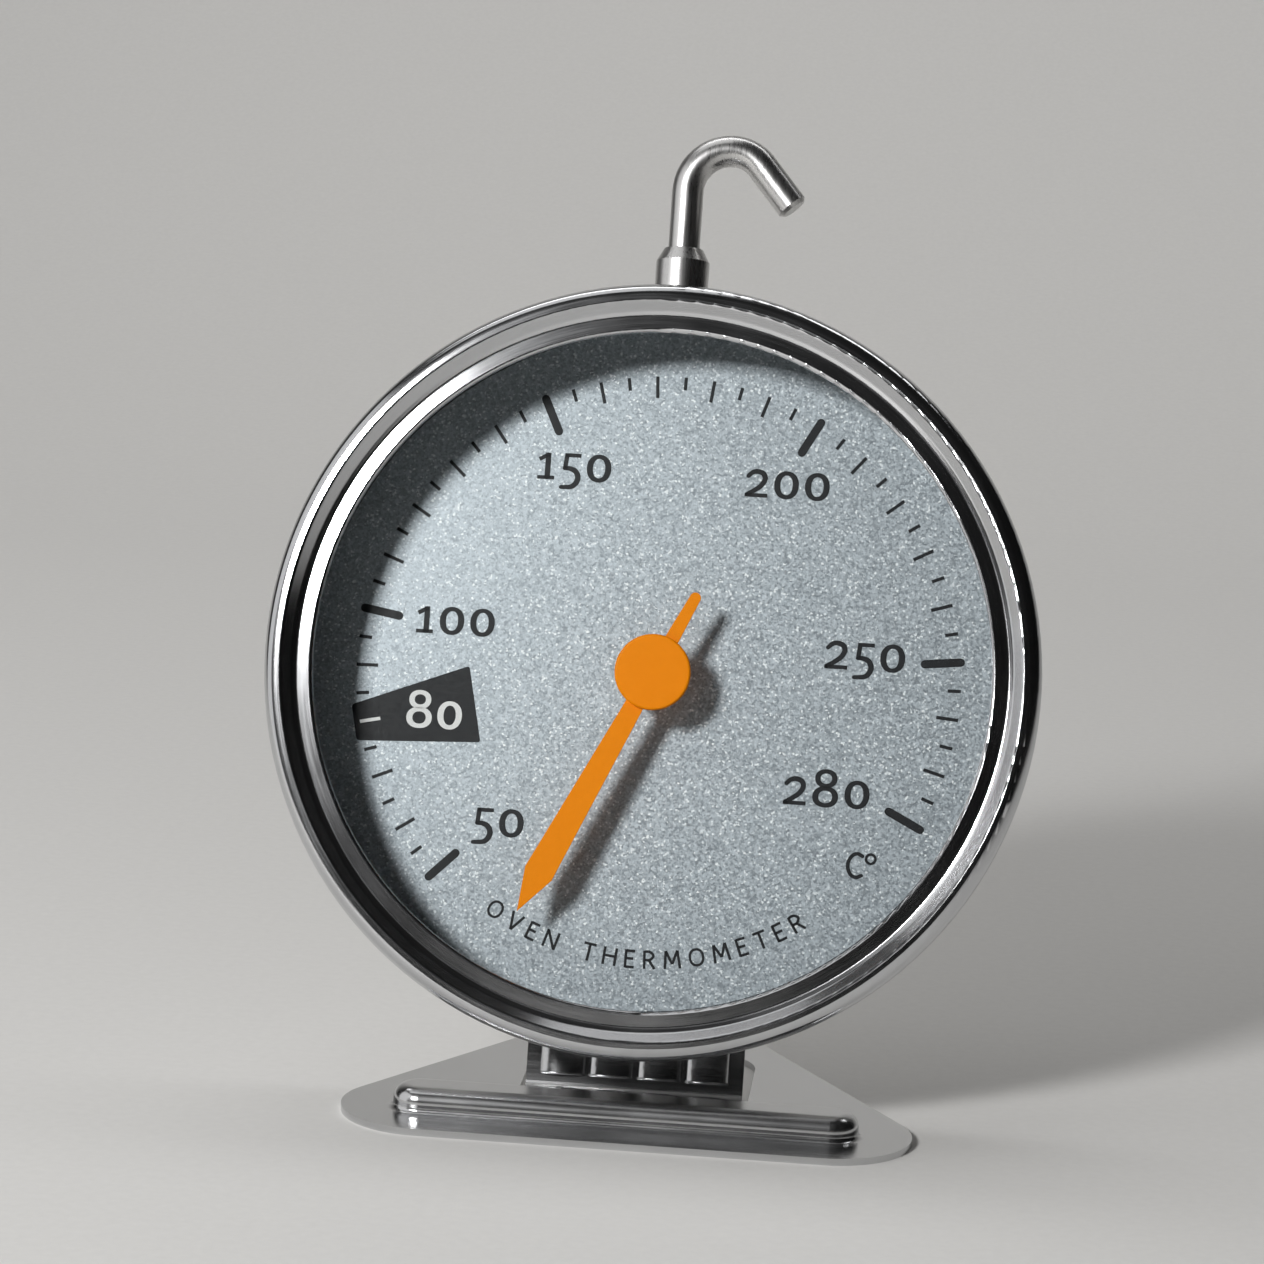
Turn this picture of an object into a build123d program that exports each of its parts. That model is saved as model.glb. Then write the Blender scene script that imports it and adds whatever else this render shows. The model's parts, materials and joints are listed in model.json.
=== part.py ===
from build123d import *
from math import cos, pi, radians, sin, tan
import os

# Oven thermometer, millimetres. The origin is on the underside of the stand, in its plane of symmetry,
# between the ridge and the upright. +Z is up, -Y is the side that the dial faces, +X is the viewer's right.

# ---------------------------------------------------------------- driving dimensions

# Stand: one stamped steel sheet with a ridge along its front and an upright tab bent up out of a window.
stand_sheet = 0.7
stand_half_width = 28.5
stand_front = 15.2
stand_corner_radius = 8.6
stand_apex = 30.0
stand_apex_radius = 14.0
ridge_length = 46.4
ridge_width = 5.6
ridge_height = 2.4
ridge_y = -7.4
ridge_round = 1.5
ridge_root = 0.6
tab_width = 22.1
tab_height = 17.0
tab_corner_radius = 5.0
tab_foot_y = 1.7
tab_bend_radius = 1.0
window_clearance = 0.6
lean_angle = 15.0

# Half-round flutes of the upright run up into a raised pad, which the back of the case sits on.
flute_count = 4
flute_pitch = 4.9
flute_width = 4.6
flute_start = 1.5
flute_end_round = 0.3
pad_height = 1.2
pad_start = 8.2
pad_margin = 1.2
pad_corner_radius = 3.2
pad_round = 0.7
pad_step = 0.1

# Case: a drawn cup with a flange, closed by a spun bezel that is crimped round the flange.
case_radius = 36.5
case_sheet = 0.5
case_depth = 15.2
case_corner_radius = 1.0
case_gap = 5.63
flange_width = 1.4
vent_count = 6
vent_radius = 1.5
vent_circle_radius = 18.0

bezel_overhang = 2.0
bezel_sheet = 0.5
bezel_edge_drop = 1.4
bezel_band_drop = 0.15
crest_inset = 1.6
step_inset = 2.75
step_drop = 0.9
groove_inset = 3.25
groove_drop = 1.1
lip_inset = 4.9
lip_drop = 0.9

# What the bezel holds against the flange, from the front.
lens_drop = 1.5
lens_thickness = 2.0
lens_chamfer = 0.2
gasket_thickness = 0.7
gasket_inset = 0.2
rim_clearance = 0.5

# Dial and the dark ring that keeps it down.
dial_drop = 10.4
dial_sheet = 0.4
dial_clearance = 0.55
spacer_seat = 0.25
spacer_clearance = 0.1

# Pointer and its shaft.
shaft_radius = 0.6
running_clearance = 0.05
pointer_lift = 5.1
pointer_sheet = 0.3
pointer_lip_gap = 6.3
pointer_point = 4.3
pointer_shoulder_width = 3.0
pointer_neck_width = 1.7
pointer_tail = 9.1
pointer_tail_width = 1.1
pointer_angle = 205.9
cap_radius = 3.8
cap_thickness = 0.8
cap_round = 0.25

# Movement behind the dial: a flat bimetal spiral on a bridge.
coil_strip = 0.3
coil_width = 1.7
coil_turns = 6
coil_inner_radius = 2.4
coil_outer_radius = 10.4
coil_points = 12
coil_gap = 0.3
collet_radius = 2.0
bridge_thickness = 0.5
bridge_width = 5.0
bridge_floor_gap = 0.8
pillar_radius = 1.2
pillar_x = 13.4
screw_radius = 0.5
screw_head_radius = 0.9
screw_head_height = 0.5
screw_tip_gap = 0.8
bush_radius = 1.5
bush_collar = 0.4
dial_bush_radius = 1.2
anchor_radius = 0.6

# Rivets that hold the case on the stand.
rivet_radius = 1.2
rivet_head_radius = 2.2
rivet_head_height = 0.7
rivet_spacing = 12.0

# Hook: round wire that turns in a collar on top of the case.
hook_wire_radius = 1.6
hook_height = 7.2
hook_shank = 7.3
hook_first_bend = 4.35
hook_second_bend = 3.9
hook_second_turn = 50.0
hook_tail = 5.5
hook_tip_chamfer = 0.35
hook_head_radius = 2.0
hook_head_length = 2.2
collar_radius = 2.7
collar_height = 5.45
collar_cone = 1.3
collar_floor = 1.7
collar_clearance = 0.08
collar_play = 0.3
collar_lip = 0.3
collar_saddle = 0.5

# ---------------------------------------------------------------- places worked out from them

lean = radians(lean_angle)
up_dial = Vector(0, sin(lean), cos(lean))
out_of_dial = Vector(0, -cos(lean), sin(lean))

# The upright's own face, with X across it and Y up it, starting where it leaves the stand's upper face.
tab_foot = Vector(0, tab_foot_y, stand_sheet)
tab_face = Plane(origin=tab_foot, x_dir=(1, 0, 0), z_dir=out_of_dial)

# The middle of the outer face of the case's back. Heights in the case are measured from here to the front.
axis_up_tab = case_radius + case_gap
back_centre = tab_foot + up_dial * axis_up_tab + out_of_dial * pad_height
case_back = Plane(origin=back_centre, x_dir=(1, 0, 0), z_dir=out_of_dial)
case_section = Plane(origin=back_centre, x_dir=(1, 0, 0), z_dir=-up_dial)
case_axis = Axis(back_centre, out_of_dial)

lens_front = case_depth - lens_drop
lens_back = lens_front - lens_thickness
flange_front = lens_back - gasket_thickness
flange_back = flange_front - case_sheet
flange_radius = case_radius + flange_width
case_bore = case_radius - case_sheet
bezel_radius = case_radius + bezel_overhang
crest_radius = bezel_radius - crest_inset
step_radius = bezel_radius - step_inset
groove_radius = bezel_radius - groove_inset
lip_radius = bezel_radius - lip_inset
dial_radius = case_bore - dial_clearance
spacer_inner_radius = dial_radius - spacer_seat
dial_face = case_depth - dial_drop
dial_back = dial_face - dial_sheet
bridge_back = case_sheet + bridge_floor_gap
bridge_front = bridge_back + bridge_thickness
coil_back = dial_back - coil_gap - coil_width
pointer_back = dial_face + pointer_lift
pointer_front = pointer_back + pointer_sheet
pointer_reach = lip_radius - pointer_lip_gap
pointer_shoulder = pointer_reach - pointer_point
lens_radius = flange_radius - rim_clearance
crimp_radius = case_radius + rim_clearance
bush_bore = shaft_radius + running_clearance
screw_tip = dial_back - screw_tip_gap
pillar_places = ((-pillar_x, 0), (pillar_x, 0))
anchor_x = coil_outer_radius + coil_strip + anchor_radius
shaft_front = pointer_front + cap_thickness / 2
rivet_row = (pad_start + tab_height - pad_margin) / 2 - axis_up_tab
rivet_places = ((-rivet_spacing / 2, rivet_row), (rivet_spacing / 2, rivet_row))

# The pointer's back face, with Y along the pointer, turned clockwise from straight up the dial.
pointer_turn = radians(pointer_angle)
pointer_face = Plane(
    origin=back_centre + out_of_dial * pointer_back,
    x_dir=Vector(1, 0, 0) * cos(pointer_turn) - up_dial * sin(pointer_turn),
    z_dir=out_of_dial,
)

# The hook stands on the case's wall. Distances along it are measured from the case's axis.
hook_face = case_back.offset(hook_height)
hook_seat = Plane(origin=hook_face.origin, x_dir=(1, 0, 0), z_dir=up_dial)
hook_axis = Axis(hook_face.origin, up_dial)
collar_bore = hook_wire_radius + collar_clearance
collar_top = case_radius + collar_height
collar_chamber_floor = case_radius + collar_floor
hook_shank_top = collar_top + hook_shank
hook_foot = collar_chamber_floor + collar_play
chamber_top = hook_foot + hook_head_length + collar_play


def revolve_ring(inner, outer, low, high):
    """A plain ring about the case's axis, between two heights."""
    with BuildSketch(case_section) as section:
        with Locations(((inner + outer) / 2, (low + high) / 2)):
            Rectangle(outer - inner, high - low)
    revolve(section.sketch, axis=case_axis)


def disc(radius, low, high, mode=Mode.ADD, places=((0, 0),)):
    """Round bars along the case's axis, between two heights."""
    with BuildSketch(case_back.offset(low)) as outline:
        with Locations(*places):
            Circle(radius)
    extrude(outline.sketch, amount=high - low, mode=mode)


# ---------------------------------------------------------------- stand

corner_x = stand_half_width - stand_corner_radius
corner_y = stand_corner_radius - stand_front
bend_start = tab_foot_y - tab_bend_radius * tan(radians(45) - lean / 2)
window_length = tab_foot_y + tab_height + window_clearance - bend_start
flute_height = pad_height - pad_step
flute_top = pad_start + flute_width
flute_foot = Plane(origin=tab_foot + up_dial * flute_start, x_dir=(-1, 0, 0), z_dir=up_dial)
pad_width = tab_width - 2 * pad_margin
pad_length = tab_height - pad_start - pad_margin
pad_middle = pad_start + pad_length / 2


# Half-round bars that the flutes are on the dial side of the upright; their flat backs lie on its face.
with BuildPart() as flutes:
    with BuildSketch(flute_foot):
        with GridLocations(flute_pitch, 0, flute_count, 1):
            Ellipse(flute_width / 2, flute_height)
        Rectangle(tab_width, flute_height, align=(Align.CENTER, Align.MAX), mode=Mode.SUBTRACT)
    extrude(amount=flute_top - flute_start)
    flute_ends = flutes.faces().group_by(Axis(tab_foot, up_dial))[0]
    fillet(flute_ends.edges().filter_by(GeomType.ELLIPSE), flute_end_round)

with BuildPart() as stand:
    with BuildSketch():
        with Locations((-corner_x, corner_y), (corner_x, corner_y)):
            Circle(stand_corner_radius)
        with Locations((0, stand_apex - stand_apex_radius)):
            Circle(stand_apex_radius)
        make_hull()
    extrude(amount=stand_sheet)

    # The ridge, pressed up from below.
    with BuildSketch(Plane.XY.offset(stand_sheet)):
        with Locations((0, ridge_y)):
            SlotOverall(ridge_length, ridge_width)
    extrude(amount=ridge_height)
    upper_face = stand.faces().filter_by(Axis.Z).sort_by(Axis.Z)[-2]
    fillet(upper_face.inner_wires()[0].edges(), ridge_root)
    fillet(stand.faces().sort_by(Axis.Z)[-1].edges(), ridge_round)
    with BuildSketch():
        with Locations((0, ridge_y)):
            SlotOverall(ridge_length - 2 * stand_sheet, ridge_width - 2 * stand_sheet)
    extrude(amount=ridge_height, mode=Mode.SUBTRACT)
    ridge_ceiling = stand.faces().filter_by(Axis.Z).sort_by(Axis.Z)[-2]
    fillet(ridge_ceiling.edges(), ridge_round - stand_sheet)

    # The window that the upright's blank leaves behind.
    with BuildSketch() as window:
        with Locations((0, bend_start + window_length / 2)):
            Rectangle(tab_width + 2 * window_clearance, window_length)
        fillet(window.vertices().group_by(Axis.Y)[-1], tab_corner_radius + window_clearance)
    extrude(amount=stand_sheet, mode=Mode.SUBTRACT)

    # The upright, bent up and leaning back.
    tab_top = tab_foot + up_dial * tab_height
    with BuildSketch(Plane.YZ.offset(-tab_width / 2)):
        with BuildLine():
            FilletPolyline(
                (bend_start - stand_sheet, stand_sheet),
                (tab_foot.Y, tab_foot.Z),
                (tab_top.Y, tab_top.Z),
                radius=tab_bend_radius,
            )
            offset(amount=stand_sheet, side=Side.RIGHT)
        make_face()
    extrude(amount=tab_width)
    fillet(stand.edges().filter_by(case_axis).sort_by(Axis.Z)[-2:], tab_corner_radius)

    # Pad and flutes, pressed towards the dial, with their hollows behind.
    with BuildSketch(tab_face):
        with Locations((0, pad_middle)):
            RectangleRounded(pad_width, pad_length, pad_corner_radius)
    extrude(amount=pad_height)
    crest = stand.faces().filter_by(tab_face).sort_by(case_axis)[-1]
    fillet(crest.edges(), pad_round)
    add(flutes.part)
    with BuildSketch(tab_face.offset(-stand_sheet)):
        with Locations((0, pad_middle)):
            RectangleRounded(
                pad_width - 2 * stand_sheet,
                pad_length - 2 * stand_sheet,
                pad_corner_radius - stand_sheet,
            )
    extrude(amount=pad_height, mode=Mode.SUBTRACT)
    with BuildSketch(flute_foot.offset(stand_sheet)):
        with GridLocations(flute_pitch, 0, flute_count, 1):
            with Locations((0, -stand_sheet)):
                Ellipse(flute_width / 2 - stand_sheet, flute_height)
    extrude(amount=flute_top - flute_start - 2 * stand_sheet, mode=Mode.SUBTRACT)
    disc(rivet_radius, -stand_sheet, 0, mode=Mode.SUBTRACT, places=rivet_places)

# ---------------------------------------------------------------- case

with BuildPart() as case_shell:
    with BuildSketch(case_section):
        with BuildLine():
            Polyline(
                (0, 0),
                (case_radius, 0),
                (case_radius, flange_back),
                (flange_radius, flange_back),
                (flange_radius, flange_front),
                (case_bore, flange_front),
                (case_bore, case_sheet),
                (0, case_sheet),
                close=True,
            )
        make_face()
    revolve(axis=case_axis)
    fillet(case_shell.edges().group_by(case_axis)[0], case_corner_radius)
    inner_corner = case_shell.faces().filter_by(case_back).sort_by(case_axis)[1].edges()
    fillet(inner_corner, case_corner_radius - case_sheet)
    disc(rivet_radius, 0, case_sheet, mode=Mode.SUBTRACT, places=rivet_places)
    with BuildSketch(case_back):
        with PolarLocations(vent_circle_radius, vent_count):
            Circle(vent_radius)
    extrude(amount=case_sheet, mode=Mode.SUBTRACT)

with BuildPart() as bezel_ring:
    with BuildSketch(case_section):
        with BuildLine():
            face_line = FilletPolyline(
                (lip_radius, lens_front),
                (lip_radius, case_depth - lip_drop),
                (groove_radius, case_depth - groove_drop),
                (step_radius, case_depth - step_drop),
                (crest_radius - bezel_sheet / 2, case_depth),
                (bezel_radius - bezel_sheet, case_depth - bezel_band_drop),
                (bezel_radius, case_depth - bezel_edge_drop),
                (bezel_radius, flange_back - bezel_sheet),
                (crimp_radius, flange_back - bezel_sheet),
                radius=[0.35, 0.5, 0.5, 0.4, 1.2, 1.0, 0.5],
            )
            Polyline(
                (crimp_radius, flange_back - bezel_sheet),
                (crimp_radius, flange_back),
                (bezel_radius - bezel_sheet, flange_back),
                (bezel_radius - bezel_sheet, case_depth - bezel_edge_drop),
                (bezel_radius - 2 * bezel_sheet, case_depth - 1.6 * bezel_sheet),
                (crest_radius, case_depth - 1.1 * bezel_sheet),
                (step_radius + 0.4, lens_front),
                (lip_radius, lens_front),
            )
        make_face()
    revolve(axis=case_axis)

with BuildPart() as glass_lens:
    disc(lens_radius, lens_back, lens_front)
    chamfer(glass_lens.edges(), lens_chamfer)

with BuildPart() as lens_gasket:
    revolve_ring(case_bore + gasket_inset, lens_radius, flange_front, lens_back)

with BuildPart() as spacer_ring:
    revolve_ring(spacer_inner_radius, case_bore - spacer_clearance, dial_face, lens_back - spacer_clearance)

# ---------------------------------------------------------------- dial

with BuildPart() as dial_plate:
    with BuildSketch(case_section):
        with BuildLine():
            Polyline(
                (dial_bush_radius, dial_face),
                (dial_radius, dial_face),
                (dial_radius, case_sheet),
                (dial_radius - dial_sheet, case_sheet),
                (dial_radius - dial_sheet, dial_back),
                (dial_bush_radius, dial_back),
                close=True,
            )
        make_face()
    revolve(axis=case_axis)

with BuildPart() as dial_bush:
    with BuildSketch(case_section):
        with BuildLine():
            Polyline(
                (bush_bore, dial_back - bush_collar),
                (dial_bush_radius + bush_collar, dial_back - bush_collar),
                (dial_bush_radius + bush_collar, dial_back),
                (dial_bush_radius, dial_back),
                (dial_bush_radius, dial_face),
                (2 * dial_bush_radius, dial_face),
                (2 * dial_bush_radius, dial_face + bush_collar),
                (bush_bore, dial_face + bush_collar),
                close=True,
            )
        make_face()
    revolve(axis=case_axis)

# ---------------------------------------------------------------- movement

with BuildPart() as movement_bridge:
    with BuildSketch(case_back.offset(bridge_back)):
        SlotOverall(2 * pillar_x + bridge_width, bridge_width)
        Circle(bush_radius, mode=Mode.SUBTRACT)
        with Locations(*pillar_places):
            Circle(screw_radius + running_clearance, mode=Mode.SUBTRACT)
    extrude(amount=bridge_thickness)

with BuildPart() as bridge_pillars:
    disc(pillar_radius, bridge_front, dial_back, places=pillar_places)
    disc(screw_radius, bridge_front, screw_tip, mode=Mode.SUBTRACT, places=pillar_places)

with BuildPart() as bridge_screws:
    disc(screw_head_radius, bridge_back - screw_head_height, bridge_back, places=pillar_places)
    disc(screw_radius, bridge_back, screw_tip, places=pillar_places)

with BuildPart() as pivot_bush:
    revolve_ring(bush_bore, bush_radius, bridge_back, bridge_front)
    revolve_ring(bush_bore, bush_radius + bush_collar, bridge_back - bush_collar, bridge_back)

with BuildPart() as coil_anchor:
    disc(anchor_radius, bridge_front, dial_back, places=((anchor_x, 0),))

# The spiral opens out by one pitch a turn and ends against the anchor.
coil_pitch = (coil_outer_radius - coil_inner_radius) / coil_turns
turn_steps = [step / coil_points for step in range(coil_turns * coil_points + 1)]


def spiral(first_radius):
    """Points along a spiral that starts at a radius and ends on the X axis."""
    return [
        (
            (first_radius + coil_pitch * turn) * cos(2 * pi * turn),
            (first_radius + coil_pitch * turn) * sin(2 * pi * turn),
        )
        for turn in turn_steps
    ]


with BuildPart() as bimetal_coil:
    with BuildSketch(case_back.offset(coil_back)):
        with BuildLine():
            Spline(*spiral(coil_inner_radius))
            Spline(*spiral(coil_inner_radius + coil_strip))
            Line((coil_inner_radius, 0), (coil_inner_radius + coil_strip, 0))
            Line((coil_outer_radius, 0), (coil_outer_radius + coil_strip, 0))
        make_face()
    extrude(amount=coil_width)

# ---------------------------------------------------------------- pointer

with BuildPart() as pointer_shaft:
    disc(shaft_radius, bridge_back - bush_collar, shaft_front)

with BuildPart() as coil_collet:
    revolve_ring(shaft_radius, collet_radius, bridge_front + coil_gap, dial_back - bush_collar - coil_gap)

with BuildPart() as pointer_blade:
    with BuildSketch(pointer_face):
        with BuildLine():
            Polyline(
                (0, pointer_reach),
                (pointer_shoulder_width / 2, pointer_shoulder),
                (pointer_neck_width / 2, 0),
                (pointer_tail_width / 2, pointer_tail_width / 2 - pointer_tail),
                (-pointer_tail_width / 2, pointer_tail_width / 2 - pointer_tail),
                (-pointer_neck_width / 2, 0),
                (-pointer_shoulder_width / 2, pointer_shoulder),
                close=True,
            )
        make_face()
        with Locations((0, pointer_tail_width / 2 - pointer_tail)):
            Circle(pointer_tail_width / 2)
        Circle(cap_radius / 2)
        Circle(shaft_radius, mode=Mode.SUBTRACT)
    extrude(amount=pointer_sheet)

with BuildPart() as pointer_cap:
    disc(cap_radius, pointer_front, pointer_front + cap_thickness)
    fillet(pointer_cap.edges().sort_by(case_axis)[-1], cap_round)
    disc(shaft_radius, pointer_front, shaft_front, mode=Mode.SUBTRACT)

# ---------------------------------------------------------------- rivets of the stand

with BuildPart() as stand_rivets:
    disc(rivet_head_radius, -stand_sheet - rivet_head_height, -stand_sheet, places=rivet_places)
    fillet(stand_rivets.edges().group_by(case_axis)[0], rivet_head_height / 2)
    disc(rivet_radius, -stand_sheet, case_sheet, places=rivet_places)
    disc(rivet_head_radius - 2 * running_clearance, case_sheet, case_sheet + rivet_head_height, places=rivet_places)

# ---------------------------------------------------------------- hook and collar

with BuildPart() as hook_collar:
    with BuildSketch(hook_face):
        with BuildLine():
            Polyline(
                (0, case_radius - collar_saddle),
                (collar_radius, case_radius - collar_saddle),
                (collar_radius, collar_top),
                (collar_bore + collar_lip, collar_top + collar_cone),
                (collar_bore, collar_top + collar_cone),
                (collar_bore, chamber_top),
                (hook_head_radius + collar_clearance, chamber_top),
                (hook_head_radius + collar_clearance, collar_chamber_floor),
                (0, collar_chamber_floor),
                close=True,
            )
        make_face()
    revolve(axis=hook_axis)
    disc(case_radius, 0, case_depth, mode=Mode.SUBTRACT)

turn = radians(hook_second_turn)
second_centre_y = hook_shank_top + hook_first_bend - hook_second_bend
tail_start = (
    hook_first_bend + hook_second_bend * sin(turn),
    second_centre_y + hook_second_bend * cos(turn),
)
tail_end = (tail_start[0] + hook_tail * cos(turn), tail_start[1] - hook_tail * sin(turn))

with BuildPart() as hook:
    with BuildLine(hook_face):
        Line((0, hook_foot), (0, hook_shank_top))
        CenterArc((hook_first_bend, hook_shank_top), hook_first_bend, 180, -90)
        CenterArc((hook_first_bend, second_centre_y), hook_second_bend, 90, -hook_second_turn)
        Line(tail_start, tail_end)
    with BuildSketch(hook_seat.offset(hook_foot)):
        Circle(hook_wire_radius)
    sweep()
    tip = hook.faces().sort_by_distance(hook_face.from_local_coords(tail_end))[0]
    chamfer(tip.edges(), hook_tip_chamfer)
    with BuildSketch(hook_seat.offset(hook_foot)):
        Circle(hook_head_radius)
    extrude(amount=hook_head_length)

# ---------------------------------------------------------------- files

pieces = {
    "stand": stand,
    "stand_rivets": stand_rivets,
    "case_shell": case_shell,
    "bezel_ring": bezel_ring,
    "glass_lens": glass_lens,
    "lens_gasket": lens_gasket,
    "spacer_ring": spacer_ring,
    "dial_plate": dial_plate,
    "dial_bush": dial_bush,
    "movement_bridge": movement_bridge,
    "bridge_pillars": bridge_pillars,
    "bridge_screws": bridge_screws,
    "pivot_bush": pivot_bush,
    "coil_anchor": coil_anchor,
    "bimetal_coil": bimetal_coil,
    "coil_collet": coil_collet,
    "pointer_shaft": pointer_shaft,
    "pointer_blade": pointer_blade,
    "pointer_cap": pointer_cap,
    "hook_collar": hook_collar,
    "hook": hook,
}
os.makedirs("parts", exist_ok=True)
for name, piece in pieces.items():
    piece.part.label = name
    export_step(piece.part, f"parts/{name}.step")
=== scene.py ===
# %% [markdown]
# # An oven thermometer, finished around its frame
# The real thermometer is a drawn steel case that leans back on a stamped stand. A spun ring holds a flat glass
# over a lacquered dial, and a wire hook turns in a collar on top. Its metal pieces come as a fixed frame, so this
# lesson adds what a frame leaves out: the print on the dial, every finish, the light and the camera.

# %% Load the frame
import json
from math import atan2, cos, pi, radians, sin, sqrt

import bmesh
import bpy
from mathutils import Matrix, Vector


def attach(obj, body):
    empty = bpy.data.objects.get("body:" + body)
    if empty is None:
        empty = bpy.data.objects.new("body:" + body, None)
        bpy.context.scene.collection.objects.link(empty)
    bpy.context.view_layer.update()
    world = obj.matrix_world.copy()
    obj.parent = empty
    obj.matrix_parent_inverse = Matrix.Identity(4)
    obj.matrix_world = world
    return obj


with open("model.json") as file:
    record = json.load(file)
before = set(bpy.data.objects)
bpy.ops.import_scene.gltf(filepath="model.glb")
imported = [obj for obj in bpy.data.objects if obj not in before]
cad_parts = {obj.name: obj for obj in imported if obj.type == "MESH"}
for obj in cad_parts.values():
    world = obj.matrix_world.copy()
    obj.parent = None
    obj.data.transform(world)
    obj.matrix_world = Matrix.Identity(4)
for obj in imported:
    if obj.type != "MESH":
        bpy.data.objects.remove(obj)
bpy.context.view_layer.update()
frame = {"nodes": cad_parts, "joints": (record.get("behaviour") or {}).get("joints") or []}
MM = 0.001
print("pieces in the frame:", len(frame["nodes"]))

# %% [markdown]
# ## Where the dial is
# Everything printed lies on a plane that leans back. The pointer's joint already tells where that plane is: its
# axis runs into the dial, and its point is on the back of the case. Three directions follow from it, and the
# dial's height along them is read from the dial plate's own points. Measuring beats copying numbers by hand.

# %% Find the dial's own directions
turn_joint = next(joint for joint in frame["joints"] if joint["name"] == "pointer_turn")
back_centre = Vector(turn_joint["pos_m"])
out = -Vector(turn_joint["axis"]).normalized()
across = Vector((1, 0, 0))
up = out.cross(across)
lean = atan2(up.y, up.z)


def reach(node, direction):
    """How far a piece reaches along a direction, from the middle of the case's back."""
    return max((vertex.co - back_centre).dot(direction) for vertex in frame["nodes"][node].data.vertices)


dial_height = reach("dial_plate", out)
dial_centre = back_centre + out * dial_height
dial_place = Matrix.Translation(dial_centre) @ Matrix((across, up, out)).transposed().to_4x4()
print("lean", round(lean * 180 / pi, 2), "degrees; dial", round(dial_height / MM, 2), "mm in front of the back")

# %% [markdown]
# ## The camera
# A small object looks natural through a long lens from forty centimetres: a short lens would swell the ring's
# near edge. The camera is placed on a circle round a point of the object by an angle to the side and an angle up,
# then rolled a little, as a camera held by hand is.

# %% Place the camera
CAMERA_SIDE = radians(4.94)
CAMERA_UP = radians(9.98)
CAMERA_ROLL = radians(2.63)
CAMERA_DISTANCE = 0.400
SENSOR = 36.0
LENS = 113.5
AIM = Vector((0, 5, 45)) * MM
AIM_RIGHT = -2.43 * MM
AIM_UP = 2.80 * MM

to_camera = Vector((sin(CAMERA_SIDE) * cos(CAMERA_UP), -cos(CAMERA_SIDE) * cos(CAMERA_UP), sin(CAMERA_UP)))
level_right = Vector((cos(CAMERA_SIDE), sin(CAMERA_SIDE), 0))
level_up = to_camera.cross(level_right)
camera_right = level_right * cos(CAMERA_ROLL) + level_up * sin(CAMERA_ROLL)
camera_up = level_up * cos(CAMERA_ROLL) - level_right * sin(CAMERA_ROLL)
aim = AIM + camera_right * AIM_RIGHT + camera_up * AIM_UP

camera_data = bpy.data.cameras.new("camera")
camera_data.sensor_width = SENSOR
camera_data.lens = LENS
camera_data.clip_start = 0.01
camera = bpy.data.objects.new("camera", camera_data)
camera.matrix_world = (
    Matrix.Translation(aim + to_camera * CAMERA_DISTANCE)
    @ Matrix((camera_right, camera_up, to_camera)).transposed().to_4x4()
)
bpy.context.scene.collection.objects.link(camera)
bpy.context.scene.camera = camera
print("camera at", [round(value, 3) for value in camera.matrix_world.translation])

# %% [markdown]
# ## The studio
# Bare steel shows nothing but its surroundings, so the light is part of the finish. A bright soft box on the left
# draws the long highlights, a dim room keeps the right-hand edges dark, and a pale floor lights the underside.
# The floor is one wide sheet that curves up behind, as a paper roll does, so that no horizon line shows.

# %% Lay the floor
FLOOR_HALF = 1.5
SWEEP_START = 0.35
SWEEP_RADIUS = 0.6
SWEEP_STEPS = 24


def pale_roll():
    """A paper roll: flat under the object, then curving up behind it."""
    profile = [(-FLOOR_HALF, 0.0), (SWEEP_START, 0.0)]
    for step in range(1, SWEEP_STEPS + 1):
        angle = step / SWEEP_STEPS * pi / 2
        profile.append((SWEEP_START + SWEEP_RADIUS * sin(angle), SWEEP_RADIUS * (1 - cos(angle))))
    profile.append((SWEEP_START + SWEEP_RADIUS, FLOOR_HALF))
    points = [(side * FLOOR_HALF, y, z) for y, z in profile for side in (-1, 1)]
    quads = [(2 * k, 2 * k + 1, 2 * k + 3, 2 * k + 2) for k in range(len(profile) - 1)]
    mesh = bpy.data.meshes.new("floor")
    mesh.from_pydata(points, [], quads)
    mesh.shade_smooth()
    floor = bpy.data.objects.new("floor", mesh)
    bpy.context.scene.collection.objects.link(floor)
    return floor


floor = pale_roll()
print("floor laid,", len(floor.data.polygons), "quads")

# %% [markdown]
# A node socket can't be added to a number in Python, so shader maths normally becomes a tangle of calls. Small
# classes cure that. `Value` wraps a socket and turns +, * and ** into Math nodes. `Graph` makes any other node
# from its type, its settings and what goes into its sockets. `Finish` is a graph that ends in one material.

# %% Write shader maths as Python
class Value:
    """A socket that can be used in sums."""

    def __init__(self, graph, socket):
        self.graph = graph
        self.socket = socket

    def maths(self, operation, first, second):
        return self.graph.node("ShaderNodeMath", {"operation": operation}, {0: first, 1: second})

    def __add__(self, other):
        return self.maths("ADD", self, other)

    def __mul__(self, other):
        return self.maths("MULTIPLY", self, other)

    def __pow__(self, other):
        return self.maths("POWER", self, other)


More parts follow.
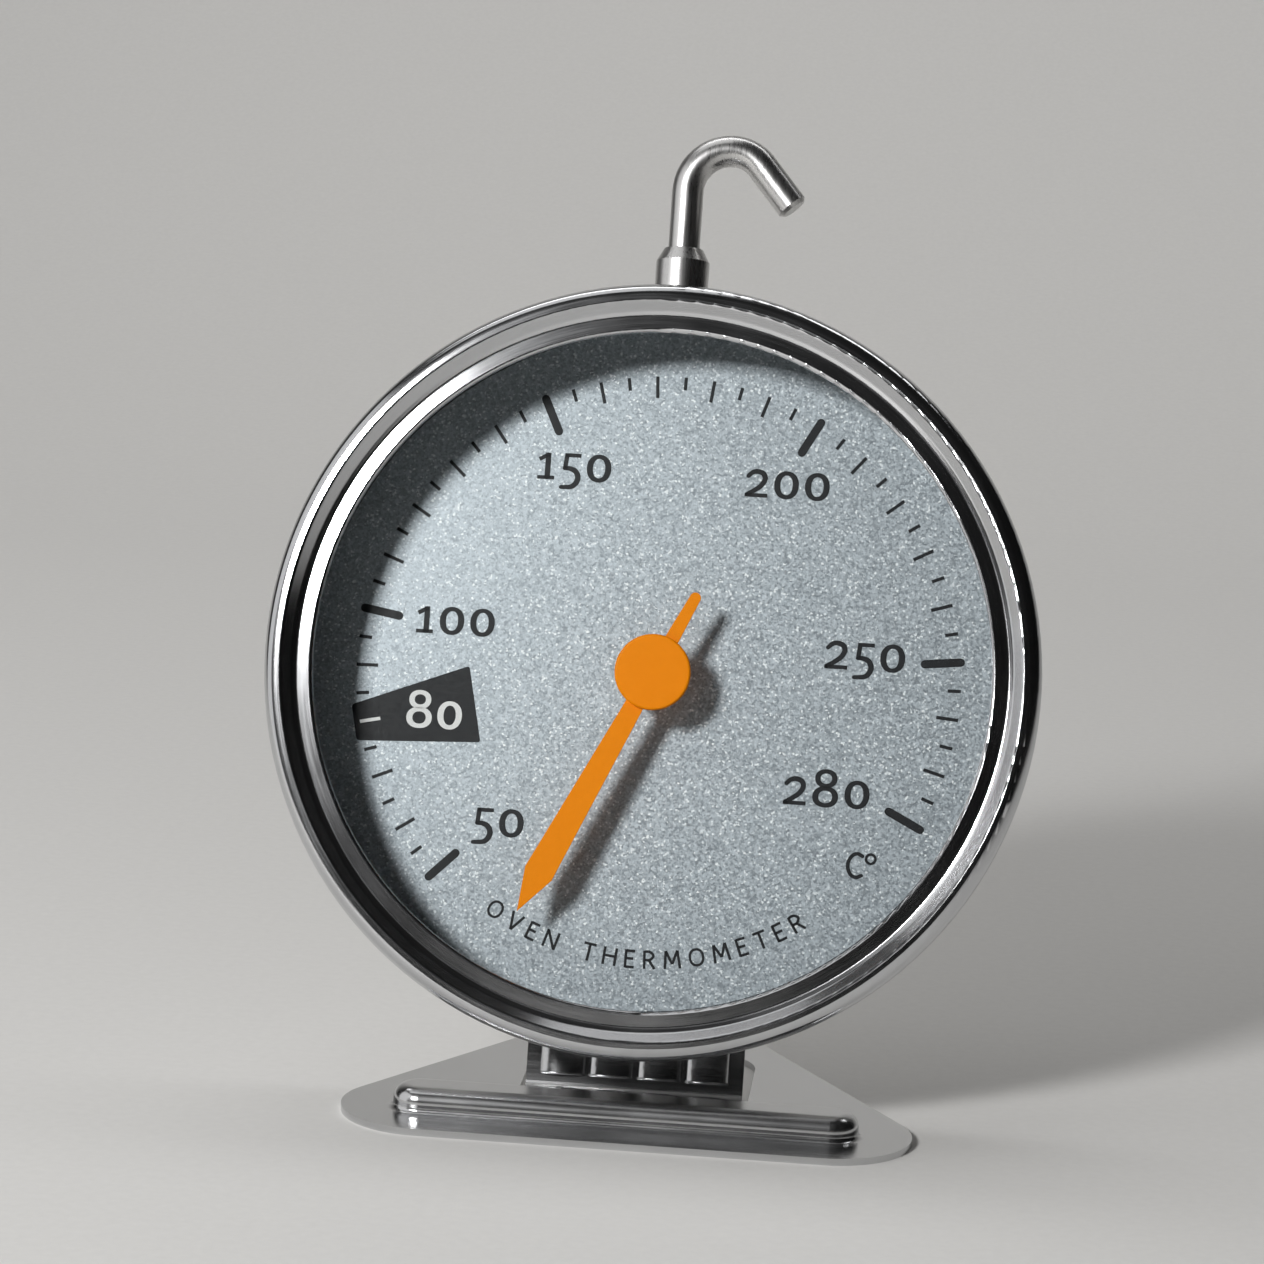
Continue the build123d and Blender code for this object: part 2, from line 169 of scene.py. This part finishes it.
class Graph:
    """A node tree, and one way to add any node to it."""

    def __init__(self, tree):
        self.tree = tree

    def node(self, kind, settings=None, sockets=None, output=0):
        made = self.tree.nodes.new(kind)
        for name, value in (settings or {}).items():
            if name == "stops":
                ramp = made.color_ramp.elements
                while len(ramp) < len(value):
                    ramp.new(1.0)
                for stop, (position, colour) in zip(ramp, value):
                    stop.position = position
                    stop.color = (*colour, 1.0)
            else:
                setattr(made, name, value)
        for name, value in (sockets or {}).items():
            self.feed(made.inputs[name], value)
        return Value(self, made.outputs[output])

    def feed(self, socket, value):
        if isinstance(value, Value):
            self.tree.links.new(value.socket, socket)
        else:
            socket.default_value = value

    def apart(self, vector):
        """The three parts of a vector."""
        return [self.node("ShaderNodeSeparateXYZ", sockets={0: vector}, output=part) for part in range(3)]

    def noise(self, vector, scale, detail=2.0, roughness=0.5):
        return self.node(
            "ShaderNodeTexNoise",
            sockets={"Vector": vector, "Scale": scale, "Detail": detail, "Roughness": roughness},
        )

    def blend(self, mask, low, high):
        """A colour that goes from low to high with a mask."""
        settings = {"data_type": "RGBA"}
        return self.node("ShaderNodeMix", settings, {0: mask, 6: low, 7: high}, output=2)

    def spread(self, value, low, high, to_low, to_high):
        """A number stretched from one range to another, and held inside it."""
        sockets = {0: value, 1: low, 2: high, 3: to_low, 4: to_high}
        return self.node("ShaderNodeMapRange", {"clamp": True}, sockets)


class Finish(Graph):
    """One material: a Principled shader and the nodes that feed it."""

    def __init__(self, name, **uniform):
        self.material = bpy.data.materials.new(name)
        self.material.use_nodes = True
        super().__init__(self.material.node_tree)
        self.shader = self.tree.nodes["Principled BSDF"]
        self.surface = self.tree.nodes["Material Output"].inputs["Surface"]
        self.place = self.node("ShaderNodeTexCoord", output="Object")
        for socket, value in uniform.items():
            self.shader.inputs[socket.replace("_", " ")].default_value = value

    def into(self, **sockets):
        for name, value in sockets.items():
            self.feed(self.shader.inputs[name.replace("_", " ")], value)

    def relief(self, height, strength, depth):
        sockets = {"Height": height, "Strength": strength, "Distance": depth}
        self.into(Normal=self.node("ShaderNodeBump", sockets=sockets, output="Normal"))

    def paint(self, *names):
        """Puts the finish on pieces of the frame."""
        for name in names:
            data = frame["nodes"][name].data
            data.materials.clear()
            data.materials.append(self.material)
        print(self.material.name, "on", ", ".join(names))


# %% [markdown]
# The paper roll gets a trace of fibre, so that it isn't a dead flat white.

# %% Finish the floor
paper = Finish("paper_roll", Roughness=0.85)
fibre = paper.noise(paper.place, 900.0, 3.0)
paper.into(Base_Color=paper.blend(fibre, (0.70, 0.69, 0.67, 1), (0.76, 0.75, 0.73, 1)))
floor.data.materials.append(paper.material)
print("floor finished")

# %% [markdown]
# ## Light
# The shadow of the hub on the dial falls to the right and slightly down, so the main light stands to the left,
# a little above, about thirty degrees off the dial's own axis. Its size sets how soft that shadow is. The room
# itself is a gradient: brighter to the left and above, dark to the right, which is what shapes bare steel. A flat
# sheet of steel seen at a low angle mirrors what stands behind it, so a fourth light washes the roll behind.

# %% Set the lights
LIGHT_SIZE = 0.10
LIGHT_DISTANCE = 0.60
LIGHT_WATTS = 2.7
OFF_AXIS = radians(29)
LIGHT_CLOCK = radians(298)
WASH_PLACE = Vector((0.0, 0.30, 0.75))
WASH_TARGET = Vector((0.0, 0.85, 0.15))


def soft_box(name, place, target, size, watts):
    """A flat light at one place that looks at another."""
    data = bpy.data.lights.new(name, "AREA")
    data.shape = "RECTANGLE"
    data.size, data.size_y = size
    data.energy = watts
    light = bpy.data.objects.new(name, data)
    light.location = place
    light.rotation_euler = (target - place).to_track_quat("-Z", "Y").to_euler()
    bpy.context.scene.collection.objects.link(light)


def from_dial(direction, distance):
    """A place some way off the middle of the dial."""
    return dial_centre + direction.normalized() * distance


key_direction = out * cos(OFF_AXIS) + (across * sin(LIGHT_CLOCK) + up * cos(LIGHT_CLOCK)) * sin(OFF_AXIS)
key_place = from_dial(key_direction, LIGHT_DISTANCE)
left_place = from_dial(Vector((-1.0, -0.30, 0.35)), 0.55)
top_place = from_dial(Vector((-0.25, 0.1, 1.0)), 0.70)
soft_box("key", key_place, dial_centre, (LIGHT_SIZE, LIGHT_SIZE), LIGHT_WATTS)
soft_box("left_wall", left_place, dial_centre, (0.45, 0.55), 0.6)
soft_box("top_panel", top_place, dial_centre, (0.60, 0.45), 0.7)
soft_box("backdrop_wash", WASH_PLACE, WASH_TARGET, (1.10, 0.30), 2.8)


def room_light():
    """A room that is lit from the left and from above, and dark on the right."""
    world = bpy.data.worlds.new("room")
    world.use_nodes = True
    graph = Graph(world.node_tree)
    x, _, z = graph.apart(graph.node("ShaderNodeTexCoord", output="Generated"))
    side = graph.spread(x, 0.35, -0.85, 0.09, 0.34)
    above = graph.spread(z, 0.30, 1.00, 0.0, 0.14)
    graph.feed(world.node_tree.nodes["Background"].inputs["Strength"], side + above)
    bpy.context.scene.world = world


room_light()
bpy.context.scene.view_settings.view_transform = "Standard"

# %% [markdown]
# ## Steel
# Every steel piece here is the same alloy, but its making leaves different lines: the ring was spun, so its lines
# run round; the wire was drawn, so its lines run along; the sheet was rolled, so its lines run across. One
# function mixes a soft stain with the lines, and is told which way the lines run by a vector that changes fast
# across them and slowly along them.

# %% Make a steel finish
def steel(name, lines, tone, rough, line_depth=0.12, tint=(1.0, 0.99, 0.98)):
    """Bare steel whose worked lines follow a stretched vector."""
    finish = Finish(name, Metallic=1.0)
    fine = finish.noise(lines(finish), 1.0, 3.0, 0.6)
    stain = finish.noise(finish.place, 130.0, 2.0)
    dark = tuple(tone * 0.86 * part for part in tint) + (1.0,)
    light = tuple(min(1.0, tone * 1.10) * part for part in tint) + (1.0,)
    finish.into(
        Base_Color=finish.blend(fine * 0.5 + stain * 0.5, dark, light),
        Roughness=finish.spread(fine * 0.6 + stain * 0.4, 0.3, 0.7, rough * 0.8, rough * 1.3),
    )
    finish.relief(fine, line_depth, 0.01 * MM)
    return finish


def along_case(finish):
    """A place in the case's own upright directions: x across, y into the dial, z up it."""
    moved = finish.node("ShaderNodeVectorMath", {"operation": "SUBTRACT"}, {0: finish.place, 1: back_centre})
    turned = {"Vector": moved, "Angle": lean}
    return finish.node("ShaderNodeVectorRotate", {"rotation_type": "X_AXIS"}, turned)


def round_lines(finish):
    """Lines that run round the case's axis: fast in radius and depth, slow in angle."""
    x, y, z = finish.apart(along_case(finish))
    radius = (x * x + z * z) ** 0.5
    angle = finish.node("ShaderNodeMath", {"operation": "ARCTAN2"}, {0: x, 1: z})
    parts = {0: radius * 9000.0, 1: y * 9000.0, 2: angle * 6.0}
    return finish.node("ShaderNodeCombineXYZ", sockets=parts)


def rolled_lines(finish):
    """Lines that run across the stand, as the sheet was rolled."""
    stretched = {0: finish.place, 1: (60.0, 5200.0, 5200.0)}
    return finish.node("ShaderNodeVectorMath", {"operation": "MULTIPLY"}, stretched)


def drawn_lines(finish):
    """Lines that run up the hook."""
    stretched = {0: along_case(finish), 1: (5200.0, 5200.0, 160.0)}
    return finish.node("ShaderNodeVectorMath", {"operation": "MULTIPLY"}, stretched)


# %% [markdown]
# The ring you look at is polished hardest, so its roughness is lowest and its highlights are narrow. The case
# behind it is left duller. Sheet pieces, rivets and screws share the rolled lines. The brass is turned and the
# spiral is wound, so their lines run round.

# %% Paint the metal
COOL = (0.97, 0.98, 1.0)
SHEET = (0.985, 0.99, 1.0)
BRONZE = (1.0, 0.93, 0.82)
BRASS = (1.0, 0.78, 0.42)

steel("spun_steel", round_lines, tone=0.62, rough=0.15, line_depth=0.06, tint=COOL).paint("bezel_ring")
steel("case_steel", round_lines, tone=0.55, rough=0.32).paint("case_shell")
steel("stand_steel", rolled_lines, tone=0.63, rough=0.20, tint=SHEET).paint("stand")
steel("rivet_steel", rolled_lines, tone=0.55, rough=0.27).paint("stand_rivets", "bridge_screws")
steel("hook_steel", drawn_lines, tone=0.62, rough=0.28).paint("hook", "hook_collar")
steel("bridge_steel", rolled_lines, tone=0.45, rough=0.35).paint("movement_bridge")
steel("shaft_steel", drawn_lines, tone=0.55, rough=0.20).paint("pointer_shaft", "coil_anchor")
steel("bimetal", round_lines, tone=0.42, rough=0.33, tint=BRONZE).paint("bimetal_coil")
steel("turned_brass", round_lines, tone=0.72, rough=0.25, tint=BRASS).paint(
    "dial_bush", "pivot_bush", "bridge_pillars", "coil_collet"
)

# %% [markdown]
# ## Paint, glass and rubber
# The dial is lacquered silver with metal flake in it: thousands of tiny mirrors that each catch the light their
# own way. A fine cell pattern gives each flake its own brightness, and a broader noise keeps it from looking
# printed. The glass is a thin clear sheet: light passes straight through, and only a faint gloss stays on top.

# %% Lacquer the dial
FLAKE_SCALE = 5200.0

lacquer = Finish("flake_lacquer", Metallic=0.42, Coat_Weight=0.15, Coat_Roughness=0.12)
flake = lacquer.node(
    "ShaderNodeTexVoronoi", {"feature": "F1"}, {"Vector": lacquer.place, "Scale": FLAKE_SCALE}, output="Color"
)
glint = lacquer.node("ShaderNodeSeparateColor", sockets={0: flake}, output=0)
grain = lacquer.noise(lacquer.place, 2600.0, 3.0, 0.65)
sparkle = lacquer.spread(glint, 0.90, 1.0, 0.0, 1.0)
body = lacquer.blend(
    lacquer.spread(grain * 0.6 + glint * 0.4, 0.30, 0.70, 0.0, 1.0), (0.30, 0.335, 0.365, 1), (0.53, 0.58, 0.62, 1)
)
lacquer.into(
    Base_Color=lacquer.blend(sparkle, body, (0.86, 0.89, 0.90, 1)),
    Roughness=lacquer.spread(glint, 0.0, 1.0, 0.30, 0.55),
)
lacquer.relief(grain, 0.25, 0.00003)
lacquer.paint("dial_plate")

# %% [markdown]
# The pointer is stamped, then enamelled orange. Enamel pulls back a little over its orange-peel texture, which a
# shallow noise gives, and the dark ring behind the glass is painted matt so that it doesn't mirror the dial.

# %% Enamel the pointer and darken the ring
enamel = Finish("orange_enamel", Specular_IOR_Level=0.1)
peel = enamel.noise(enamel.place, 1500.0, 2.0)
enamel.into(
    Base_Color=enamel.blend(peel, (0.90, 0.255, 0.001, 1), (0.96, 0.285, 0.002, 1)),
    Roughness=enamel.spread(peel, 0.3, 0.7, 0.36, 0.46),
)
enamel.relief(peel, 0.12, 0.00002)
enamel.paint("pointer_blade", "pointer_cap")

matt = Finish("matt_enamel")
dust = matt.noise(matt.place, 1900.0, 3.0)
matt.into(
    Base_Color=matt.blend(dust, (0.035, 0.035, 0.038, 1), (0.065, 0.065, 0.068, 1)),
    Roughness=matt.spread(dust, 0.3, 0.7, 0.45, 0.62),
)
matt.paint("spacer_ring")

silicone = Finish("silicone")
bloom = silicone.noise(silicone.place, 700.0, 2.0)
silicone.into(
    Base_Color=silicone.blend(bloom, (0.020, 0.020, 0.020, 1), (0.035, 0.035, 0.034, 1)),
    Roughness=silicone.spread(bloom, 0.3, 0.7, 0.55, 0.75),
)
silicone.paint("lens_gasket")

# %% [markdown]
# Real refraction would leave the dial dark, because a path tracer finds a lamp through a pane only by luck. A thin
# flat pane barely bends light, so it is made of two shaders instead: clear, and a gloss that a Fresnel factor
# lets in at the edges of the view. A breath of haze on the roughness keeps the reflection from being perfect.
# The weak point is the inner face. The Fresnel node takes it for the way out of solid glass, so from more than
# about 48 degrees off the dial's axis the gloss takes over and hides the print. From nearer the front it is clear.

# %% Clear the glass
pane = Finish("clear_pane")
haze = pane.noise(pane.place, 60.0, 2.0)
gloss = pane.node(
    "ShaderNodeBsdfGlossy", sockets={"Color": (1, 1, 1, 1), "Roughness": pane.spread(haze, 0.3, 0.7, 0.02, 0.06)}
)
clear = pane.node("ShaderNodeBsdfTransparent", sockets={"Color": (0.985, 0.992, 0.990, 1)})
edge = pane.node("ShaderNodeFresnel", sockets={"IOR": 1.35})
pane.tree.links.new(
    pane.node("ShaderNodeMixShader", sockets={0: edge * 0.8, 1: clear, 2: gloss}).socket, pane.surface
)
pane.paint("glass_lens")

# %% [markdown]
# ## The print on the dial
# The scale is screen-printed: a thin film of ink with crisp edges. It could be drawn in the shader, but ink has a
# real thickness and an outline, so each mark is a thin solid. A mark is a ribbon that follows a path, and a ribbon
# is a row of quads with a round end. Angles are clock angles: from straight up, clockwise.

# %% Cut ink from ribbons
INK = 0.02 * MM


def clock(radius, degrees):
    """A point on the dial at a radius and a clock angle."""
    return Vector((radius * sin(radians(degrees)), radius * cos(radians(degrees))))


def smooth(points, steps=8):
    """A curve through the points, which keeps straight runs straight."""
    ends = [points[0] * 2 - points[1], *points, points[-1] * 2 - points[-2]]
    curve = []
    for before, start, stop, after in zip(ends, ends[1:], ends[2:], ends[3:]):
        for step in range(steps):
            t = step / steps
            curve.append(
                0.5
                * (
                    2 * start
                    + (stop - before) * t
                    + (2 * before - 5 * start + 4 * stop - after) * t * t
                    + (3 * start - before - 3 * stop + after) * t**3
                )
            )
    return curve + [points[-1]]


def ribbon(points, width, round_ends=True, taper=1.0):
    """Quads along a path. taper makes the two ends narrower than the middle."""
    sides = []
    for place, point in enumerate(points):
        before = points[max(place - 1, 0)]
        after = points[min(place + 1, len(points) - 1)]
        along = (after - before).normalized()
        share = place / (len(points) - 1)
        half = width / 2 * (taper + (1 - taper) * sin(pi * share))
        sides.append((point, along, half))
    if round_ends:
        first, last = sides[0], sides[-1]
        steps = [sin(radians(angle)) for angle in (78, 55, 30)]
        lead = [(first[0] - first[1] * first[2] * s, first[1], first[2] * sqrt(1 - s * s)) for s in steps]
        tail = [(last[0] + last[1] * last[2] * s, last[1], last[2] * sqrt(1 - s * s)) for s in reversed(steps)]
        sides = lead + sides + tail
    pairs = [
        (point + Vector((-along.y, along.x)) * half, point - Vector((-along.y, along.x)) * half)
        for point, along, half in sides
    ]
    return [(a[0], a[1], b[1], b[0]) for a, b in zip(pairs, pairs[1:])]


def ring(centre, outer, inner, power=2.2, steps=48):
    """Quads between two rounded ovals: outer and inner are (width, height)."""

    def oval(size, angle):
        c, s = cos(angle), sin(angle)
        x = abs(c) ** (2 / power) * (1 if c >= 0 else -1)
        y = abs(s) ** (2 / power) * (1 if s >= 0 else -1)
        return centre + Vector((x * size[0] / 2, y * size[1] / 2))

    angles = [2 * pi * step / steps for step in range(steps + 1)]
    return [(oval(inner, a), oval(outer, a), oval(outer, b), oval(inner, b)) for a, b in zip(angles, angles[1:])]


def print_ink(name, quads, finish, lift=0.0):
    """A thin closed film on the dial from flat quads in millimetres."""
    shape = bmesh.new()
    for quad in quads:
        shape.faces.new([shape.verts.new((p.x * MM, p.y * MM, lift + INK)) for p in quad])
    bmesh.ops.remove_doubles(shape, verts=shape.verts, dist=0.002 * MM)
    bmesh.ops.recalc_face_normals(shape, faces=shape.faces)
    for face in shape.faces:
        if face.normal.z < 0:
            face.normal_flip()
    walls = bmesh.ops.extrude_face_region(shape, geom=shape.faces[:])
    lowered = [item for item in walls["geom"] if isinstance(item, bmesh.types.BMVert)]
    bmesh.ops.translate(shape, verts=lowered, vec=(0, 0, -INK))
    bmesh.ops.recalc_face_normals(shape, faces=shape.faces)
    mesh = bpy.data.meshes.new(name)
    shape.to_mesh(mesh)
    shape.free()
    mesh.transform(dial_place)
    mesh.materials.append(finish.material)
    film = bpy.data.objects.new(name, mesh)
    bpy.context.scene.collection.objects.link(film)
    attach(film, "case")
    print(name, "has", len(mesh.polygons), "faces")


print("each film of ink is", round(INK / MM, 3), "mm thick")


# %% [markdown]
# Ink isn't a perfect black: it takes up a little of the lacquer's grain, and it is slightly less glossy.

# %% Mix the inks
def ink(name, dark, light):
    finish = Finish(name, Specular_IOR_Level=0.3)
    tooth = finish.noise(finish.place, 2400.0, 3.0)
    finish.into(
        Base_Color=finish.blend(tooth, (*dark, 1), (*light, 1)),
        Roughness=finish.spread(tooth, 0.3, 0.7, 0.42, 0.58),
    )
    finish.relief(tooth, 0.15, 0.00001)
    return finish


black_ink = ink("black_ink", (0.008, 0.009, 0.011), (0.016, 0.017, 0.020))
white_ink = ink("white_ink", (0.80, 0.80, 0.79), (0.90, 0.90, 0.89))
print("inks:", black_ink.material.name, "and", white_ink.material.name)

# %% [markdown]
# The scale runs from 50 to 280 degrees, evenly. A line every 5, a longer one every 10, and a heavy bar at each
# figure. The field at 80, the heat for keeping food warm, is a dark wedge, so its line is printed in white.

# %% Print the scale
SCALE_FIRST, SCALE_LAST = 50, 280
FIRST_CLOCK, LAST_CLOCK = 225.1, 476.6
TICK_OUTER = 30.6
TICK_FIVE, TICK_TEN, TICK_BAR = 29.3, 28.4, 27.0
LINE_WIDTH, BAR_WIDTH = 0.34, 0.85
FIGURED = (50, 100, 150, 200, 250, 280)
KEEP_WARM = 80


def clock_of(heat):
    """The clock angle of a temperature."""
    share = (heat - SCALE_FIRST) / (SCALE_LAST - SCALE_FIRST)
    return FIRST_CLOCK + share * (LAST_CLOCK - FIRST_CLOCK)


ticks = []
for heat in range(SCALE_FIRST, SCALE_LAST + 1, 5):
    if heat == KEEP_WARM:
        continue
    inner = TICK_BAR if heat in FIGURED else TICK_TEN if heat % 10 == 0 else TICK_FIVE
    width = BAR_WIDTH if heat in FIGURED else LINE_WIDTH
    angle = clock_of(heat)
    ticks += ribbon([clock(inner, angle), clock(TICK_OUTER, angle)], width, round_ends=heat in FIGURED)
print_ink("scale_ticks", ticks, black_ink)

# %% [markdown]
# The figures are old-style: 0, 1 and 2 are as tall as small letters, 8 rises above them and 5 hangs below. Each is
# a few strokes in millimetres, on a baseline at zero, so a digit is a short list of points instead of a font.

# %% Draw the figures
def path(*points):
    return [Vector(point) for point in points]


def figure(digit):
    """A digit's quads and its width."""
    if digit == "0":
        return ring(Vector((1.25, 1.38)), (2.50, 2.86), (1.24, 1.98)), 2.50
    if digit == "1":
        stem = ribbon(path((1.02, 0.05), (1.02, 2.72)), 0.56, round_ends=False)
        flag = ribbon(path((1.12, 2.58), (0.12, 2.02)), 0.42, round_ends=False)
        foot = ribbon(path((0.0, 0.19), (1.74, 0.19)), 0.38, round_ends=False)
        return stem + flag + foot, 1.74
    if digit == "2":
        head = path((0.28, 2.12), (0.72, 2.52), (1.25, 2.62), (1.82, 2.40))
        bow = smooth(head + path((1.98, 1.85), (1.62, 1.20), (0.95, 0.68), (0.22, 0.26)))
        foot = ribbon(path((0.02, 0.20), (2.32, 0.20)), 0.40, round_ends=False)
        return ribbon(bow, 0.54, taper=0.80) + foot, 2.32
    if digit == "5":
        bar = ribbon(path((0.36, 2.58), (2.02, 2.58)), 0.40, round_ends=False)
        drop = ribbon(path((0.58, 2.70), (0.42, 1.12)), 0.46, round_ends=False)
        shoulder = path((0.40, 1.22), (0.95, 1.22), (1.52, 0.95), (1.78, 0.38))
        bowl = smooth(shoulder + path((1.62, -0.22), (1.15, -0.62), (0.12, -0.72)))
        return bar + drop + ribbon(bowl, 0.58, taper=0.70), 2.02
    lower = ring(Vector((1.30, 0.98)), (2.60, 2.14), (1.36, 1.24))
    upper = ring(Vector((1.30, 2.82)), (2.24, 1.90), (1.14, 1.02))
    return lower + upper, 2.60


def number(digits, centre, gap=0.62):
    """A number's quads, with its baseline box centred on a point of the dial."""
    widths = [figure(digit)[1] for digit in digits]
    x = centre.x - (sum(widths) + gap * (len(digits) - 1)) / 2
    quads = []
    for digit, width in zip(digits, widths):
        shift = Vector((x, centre.y - 1.4))
        quads += [tuple(corner + shift for corner in quad) for quad in figure(digit)[0]]
        x += width + gap
    return quads


FIGURE_PLACES = {
    "50": (-15.0, -15.7),
    "100": (-20.8, 4.4),
    "150": (-9.8, 20.8),
    "200": (11.9, 20.2),
    "250": (20.8, 3.3),
    "280": (17.8, -10.6),
}
figures = []
for digits, place in FIGURE_PLACES.items():
    figures += number(digits, Vector(place))
print_ink("scale_figures", figures, black_ink)

# %% [markdown]
# The wedge is one flat field between two radii, wider inside than outside, with soft corners. The white film lies
# on top of it, as a second pass through the screen would leave it.

# %% Print the keep-warm field
FIELD_OUTER, FIELD_INNER = 31.1, 18.65
FIELD_OUTER_WIDTH, FIELD_INNER_WIDTH = 3.7, 7.85
FIELD_CORNER = 0.35


def rounded_outline(corners, radius, steps=5):
    """A polygon with its corners cut round by a small curve."""
    outline = []
    for place, corner in enumerate(corners):
        before = corner + (corners[place - 1] - corner).normalized() * radius
        after = corner + (corners[(place + 1) % len(corners)] - corner).normalized() * radius
        for step in range(steps + 1):
            t = step / steps
            outline.append(before * (1 - t) ** 2 + corner * 2 * t * (1 - t) + after * t * t)
    return outline


field_middle = clock(1.0, clock_of(KEEP_WARM))
field_side = Vector((-field_middle.y, field_middle.x))
field = rounded_outline(
    [
        field_middle * FIELD_OUTER + field_side * FIELD_OUTER_WIDTH / 2,
        field_middle * FIELD_OUTER - field_side * FIELD_OUTER_WIDTH / 2,
        field_middle * FIELD_INNER - field_side * FIELD_INNER_WIDTH / 2,
        field_middle * FIELD_INNER + field_side * FIELD_INNER_WIDTH / 2,
    ],
    FIELD_CORNER,
)
print_ink("keep_warm_field", [field], black_ink)
white = ribbon([clock(28.4, clock_of(KEEP_WARM)), clock(30.5, clock_of(KEEP_WARM))], 0.34, round_ends=False)
white += number("80", Vector((-22.3, -5.2)), gap=0.55)
print_ink("keep_warm_figures", white, white_ink, lift=INK)

# %% [markdown]
# The unit and a plain legend finish the print. The letters are strokes too, drawn two units tall and set round
# the foot of the dial one after the other, each turned so that its top points at the middle.

# %% Print the unit and the legend
LETTER_STROKES = {
    "E": [
        path((0.1, 0), (0.1, 2)),
        path((0.1, 1.9), (1.1, 1.9)),
        path((0.1, 1.05), (0.95, 1.05)),
        path((0.1, 0.1), (1.1, 0.1)),
    ],
    "H": [path((0.1, 0), (0.1, 2)), path((1.4, 0), (1.4, 2)), path((0.1, 1.05), (1.4, 1.05))],
    "M": [
        path((0.1, 0), (0.3, 2)),
        path((0.3, 2), (0.95, 0.5)),
        path((0.95, 0.5), (1.6, 2)),
        path((1.6, 2), (1.8, 0)),
    ],
    "N": [path((0.1, 0), (0.1, 2)), path((0.1, 1.95), (1.4, 0.05)), path((1.4, 0), (1.4, 2))],
    "R": [
        path((0.1, 0), (0.1, 2)),
        smooth(path((0.1, 1.9), (0.7, 1.9), (1.1, 1.45), (0.7, 1.0), (0.1, 1.0))),
        path((0.6, 1.0), (1.25, 0)),
    ],
    "T": [path((0, 1.9), (1.4, 1.9)), path((0.7, 0), (0.7, 1.9))],
    "V": [path((0.05, 2), (0.75, 0)), path((0.75, 0), (1.45, 2))],
}
LETTER_WIDTHS = {"E": 1.15, "H": 1.5, "M": 1.9, "N": 1.5, "R": 1.3, "T": 1.4, "V": 1.5, "O": 1.75}
LEGEND = "OVEN THERMOMETER"
LEGEND_BASE = 29.4
LEGEND_FIRST, LEGEND_LAST = 212.5, 145.5
LETTER_SIZE = 0.9
LETTER_LINE = 0.27


def letter(sign):
    """A capital's quads, two units tall."""
    if sign == "O":
        return ring(Vector((0.87, 1.0)), (1.75, 2.05), (1.20, 1.48))
    quads = []
    for stroke in LETTER_STROKES[sign]:
        quads += ribbon(stroke, LETTER_LINE / LETTER_SIZE, round_ends=False)
    return quads


def on_arc(quads, width, degrees):
    """Letters stand on the arc with their tops towards the middle."""
    turned = []
    right = clock(1.0, degrees - 90)
    inward = clock(-1.0, degrees)
    foot = clock(LEGEND_BASE, degrees)
    for quad in quads:
        turned.append(tuple(foot + (right * (p.x - width / 2) + inward * p.y) * LETTER_SIZE for p in quad))
    return turned


SPACE_WIDTH = 1.1
letter_widths = [LETTER_WIDTHS.get(sign, SPACE_WIDTH) for sign in LEGEND]
legend_arc = radians(LEGEND_FIRST - LEGEND_LAST) * LEGEND_BASE / LETTER_SIZE
legend_gap = (legend_arc - sum(letter_widths)) / (len(LEGEND) - 1)
legend = []
run = 0.0
for sign, width in zip(LEGEND, letter_widths):
    degrees = LEGEND_FIRST - (run + width / 2) * LETTER_SIZE / LEGEND_BASE * 180 / pi
    if sign != " ":
        legend += on_arc(letter(sign), width, degrees)
    run += width + legend_gap
print_ink("legend", legend, black_ink)

unit_place = Vector((20.2, -19.0))
upper_c = path((1.62, 2.28), (1.15, 2.50), (0.62, 2.30), (0.26, 1.70))
hook_of_c = smooth(upper_c + path((0.22, 1.05), (0.50, 0.42), (1.05, 0.14), (1.60, 0.34)))
unit = ribbon(hook_of_c, 0.38) + ring(Vector((2.45, 2.05)), (1.20, 1.20), (0.66, 0.66), power=2.0)
print_ink("unit_mark", [tuple(corner + unit_place for corner in quad) for quad in unit], black_ink)

# %% [markdown]
# ## The end

# %% Finish
print("scene finished")
